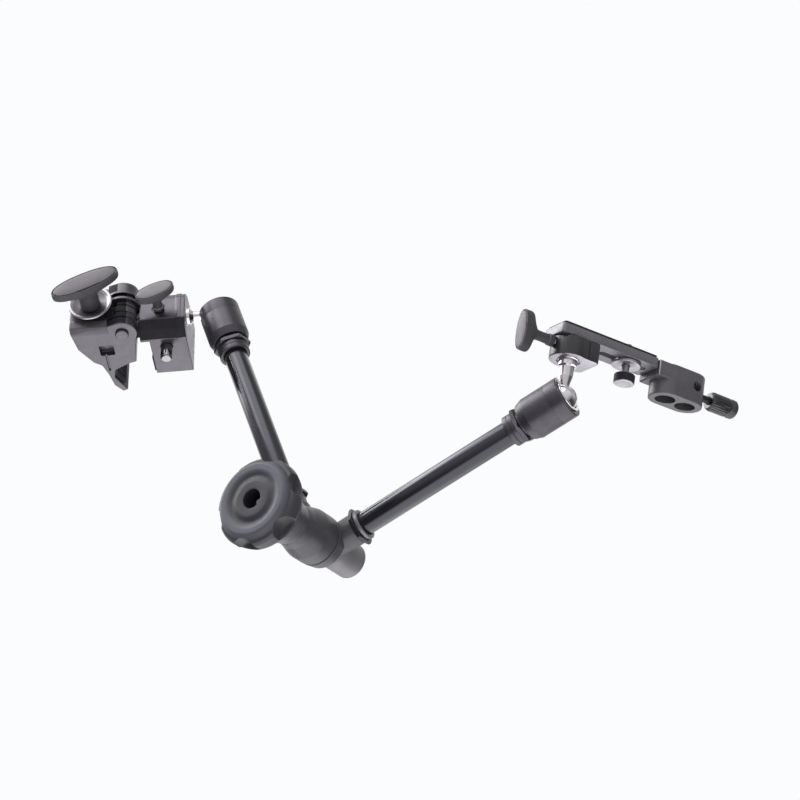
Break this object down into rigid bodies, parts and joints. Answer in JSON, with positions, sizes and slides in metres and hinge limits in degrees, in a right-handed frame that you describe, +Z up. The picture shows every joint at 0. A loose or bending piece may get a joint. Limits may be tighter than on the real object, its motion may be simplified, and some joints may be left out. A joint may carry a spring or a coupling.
{
  "type": "articulated camera support arm",
  "caption": "Jointed friction arm with a jaw clamp at one end and a slotted camera bracket with a screw at the other.",
  "frame": {"origin": "centre of the fixed jaw's rubber facing", "axes": "+Z up along the clamped column, +X along the clamp's stud socket towards the arm, jaw opens towards +Y"},
  "size_m": [0.538, 0.1908, 0.292],
  "materials": {
    "cast_black": "fine cast, matt black",
    "handle_plastic": "fine moulded grain",
    "chrome": "bright chrome",
    "steel": "turned steel",
    "tube_anodised": "gloss black anodised",
    "head_metal": "satin black, turned",
    "knob_plastic": "slate grey, moulded",
    "rubber": "ribbed black rubber",
    "alloy": "grey satin alloy",
    "black_plastic": "black moulded"
  },
  "bodies": {
    "clamp": {"clamp_body": "cast_black", "fixed_jaw_pad": "rubber", "jaw_hinge_pin": "steel"},
    "moving_jaw": {"moving_jaw": "cast_black", "moving_jaw_pad": "rubber"},
    "jaw_wing": {"jaw_screw": "steel", "jaw_wing_handle": "handle_plastic", "thrust_cup": "chrome"},
    "jaw_nut": {"jaw_nut": "steel"},
    "socket_screw": {"socket_screw": "steel"},
    "socket_wing": {"socket_wing_handle": "handle_plastic"},
    "latch": {"latch_pin": "chrome"},
    "clamp_stud": {"clamp_stud": "chrome"},
    "head_1_cap": {"head_1_cap": "head_metal", "head_1_retaining_ring": "chrome"},
    "upper_arm": {"head_1_housing": "head_metal", "head_1_nut": "head_metal", "head_1_collar": "head_metal", "tube_1": "tube_anodised", "elbow_1_collar": "head_metal", "elbow_1_nut": "head_metal", "elbow_front_knuckle": "head_metal"},
    "lock_rod_1": {"push_rod_1": "steel", "head_1_ball_seat": "steel"},
    "lower_arm": {"elbow_rear_knuckle": "head_metal", "elbow_bolt": "steel", "rear_end_plug": "black_plastic", "elbow_thrust_washer": "steel", "tube_2": "tube_anodised", "elbow_2_collar": "head_metal", "elbow_2_nut": "head_metal", "head_2_housing": "head_metal", "head_2_nut": "head_metal", "head_2_collar": "head_metal"},
    "lock_rod_2": {"push_rod_2": "steel", "head_2_ball_seat": "steel"},
    "knob_bush": {"knob_bush": "steel"},
    "elbow_knob": {"elbow_knob": "knob_plastic"},
    "head_2_cap": {"head_2_cap": "head_metal", "head_2_retaining_ring": "chrome"},
    "bracket_stud": {"bracket_stud": "chrome"},
    "bracket": {"bracket_block": "black_plastic", "bar_screw": "steel", "bracket_bar": "alloy", "bar_pad": "rubber", "end_block": "alloy"},
    "block_screw": {"block_screw": "steel"},
    "block_wing": {"block_wing_handle": "handle_plastic"},
    "screw_washer": {"boss_washer": "alloy"},
    "camera_screw": {"camera_screw": "steel"},
    "end_screw": {"end_screw": "steel"},
    "end_knob": {"end_knob": "black_plastic"}
  },
  "joints": [
    {"name": "jaw_hinge", "type": "hinge", "parent": "clamp", "child": "moving_jaw", "pos_m": [-0.0185, -0.044, 0], "axis": [0, 0, 1], "range_deg": [-15.2, 12.2]},
    {"name": "jaw_wing_turn", "type": "hinge", "parent": "moving_jaw", "child": "jaw_wing", "pos_m": [-0.043, -0.053, 0], "axis": [0, 1, 0], "range_deg": [-1055, 1319]},
    {"name": "jaw_nut_slide", "type": "slide", "parent": "moving_jaw", "child": "jaw_nut", "axis": [0, 1, 0], "range_m": [-0.0065, 0.0052]},
    {"name": "socket_wing_turn", "type": "hinge", "parent": "socket_screw", "child": "socket_wing", "pos_m": [0.011, -0.046, 0], "axis": [0, 1, 0], "range_deg": [-720, 0]},
    {"name": "socket_screw_slide", "type": "slide", "parent": "clamp", "child": "socket_screw", "axis": [0, 1, 0], "range_m": [-0.0021, 0.0001]},
    {"name": "latch_pull", "type": "slide", "parent": "clamp", "child": "latch", "axis": [0, 0, -1], "range_m": [0, 0.01], "stiffness_N_per_m": 400, "springref_m": -0.004},
    {"name": "clamp_stud_turn", "type": "hinge", "parent": "clamp", "child": "clamp_stud", "pos_m": [0.0597, -0.033, 0], "axis": [1, 0, 0], "range_deg": [-180, 180]},
    {"name": "head_1_swing", "type": "hinge", "parent": "clamp_stud", "child": "head_1_cap", "pos_m": [0.0597, -0.033, 0], "axis": [0, -0.9994, -0.0355], "range_deg": [-16, 99]},
    {"name": "upper_arm_turn", "type": "hinge", "parent": "head_1_cap", "child": "upper_arm", "pos_m": [0.0597, -0.033, 0], "axis": [0.2778, 0.0341, -0.96], "range_deg": [-180, 180]},
    {"name": "elbow_hinge", "type": "hinge", "parent": "upper_arm", "child": "lower_arm", "pos_m": [0.12409, -0.0251, -0.22254], "axis": [0.4644, 0.8701, 0.1652], "range_deg": [-45, 150]},
    {"name": "lock_rod_1_slide", "type": "slide", "parent": "upper_arm", "child": "lock_rod_1", "axis": [-0.2778, -0.0341, 0.96], "range_m": [-0.0006, 0.0001]},
    {"name": "lock_rod_2_slide", "type": "slide", "parent": "lower_arm", "child": "lock_rod_2", "axis": [0.8545, -0.4892, 0.1746], "range_m": [-0.0006, 0.0001]},
    {"name": "knob_advance", "type": "slide", "parent": "lower_arm", "child": "knob_bush", "axis": [0.4644, 0.8701, 0.1652], "range_m": [-0.0015, 0.0001]},
    {"name": "elbow_knob_turn", "type": "hinge", "parent": "knob_bush", "child": "elbow_knob", "pos_m": [0.09429, -0.08092, -0.23314], "axis": [0.4644, 0.8701, 0.1652], "range_deg": [-270, 0]},
    {"name": "head_2_turn", "type": "hinge", "parent": "lower_arm", "child": "head_2_cap", "pos_m": [0.33116, -0.10033, -0.17755], "axis": [0.8545, -0.4892, 0.1746], "range_deg": [-180, 180]},
    {"name": "bracket_stud_swing", "type": "hinge", "parent": "head_2_cap", "child": "bracket_stud", "pos_m": [0.33116, -0.10033, -0.17755], "axis": [-0.459, -0.8685, -0.1873], "range_deg": [-86, 29]},
    {"name": "bracket_turn", "type": "hinge", "parent": "bracket_stud", "child": "bracket", "pos_m": [0.33116, -0.10033, -0.17755], "axis": [0.205, -0.3087, 0.9288], "range_deg": [-180, 180]},
    {"name": "block_screw_slide", "type": "slide", "parent": "bracket", "child": "block_screw", "axis": [0.7947, 0.6065, 0.0262], "range_m": [-0.0021, 0.0001]},
    {"name": "block_wing_turn", "type": "hinge", "parent": "block_screw", "child": "block_wing", "pos_m": [0.32388, -0.12542, -0.13906], "axis": [0.7947, 0.6065, 0.0262], "range_deg": [-720, 0]},
    {"name": "camera_screw_slide", "type": "slide", "parent": "bracket", "child": "screw_washer", "axis": [0.7947, 0.6065, 0.0262], "range_m": [-0.02, 0.01]},
    {"name": "camera_screw_turn", "type": "hinge", "parent": "screw_washer", "child": "camera_screw", "pos_m": [0.37925, -0.07898, -0.14554], "axis": [0.205, -0.3087, 0.9288], "continuous": true},
    {"name": "end_screw_slide", "type": "slide", "parent": "bracket", "child": "end_screw", "axis": [-0.7947, -0.6065, -0.0262], "range_m": [-0.0011, 0.0016]},
    {"name": "end_knob_turn", "type": "hinge", "parent": "end_screw", "child": "end_knob", "pos_m": [0.45111, -0.02851, -0.13451], "axis": [-0.7947, -0.6065, -0.0262], "range_deg": [-360, 540]}
  ],
  "couplings": [
    {"joint": "jaw_hinge", "follows": "jaw_wing_turn", "ratio": -0.011372},
    {"joint": "jaw_nut_slide", "follows": "jaw_wing_turn", "m_per_rad": -0.00027852},
    {"joint": "socket_screw_slide", "follows": "socket_wing_turn", "m_per_rad": 0.00015915},
    {"joint": "knob_advance", "follows": "elbow_knob_turn", "m_per_rad": 0.00027852},
    {"joint": "lock_rod_1_slide", "follows": "elbow_knob_turn", "m_per_rad": 0.0001},
    {"joint": "lock_rod_2_slide", "follows": "elbow_knob_turn", "m_per_rad": 0.0001},
    {"joint": "block_screw_slide", "follows": "block_wing_turn", "m_per_rad": 0.00015915},
    {"joint": "end_screw_slide", "follows": "end_knob_turn", "m_per_rad": 0.00015915}
  ]
}
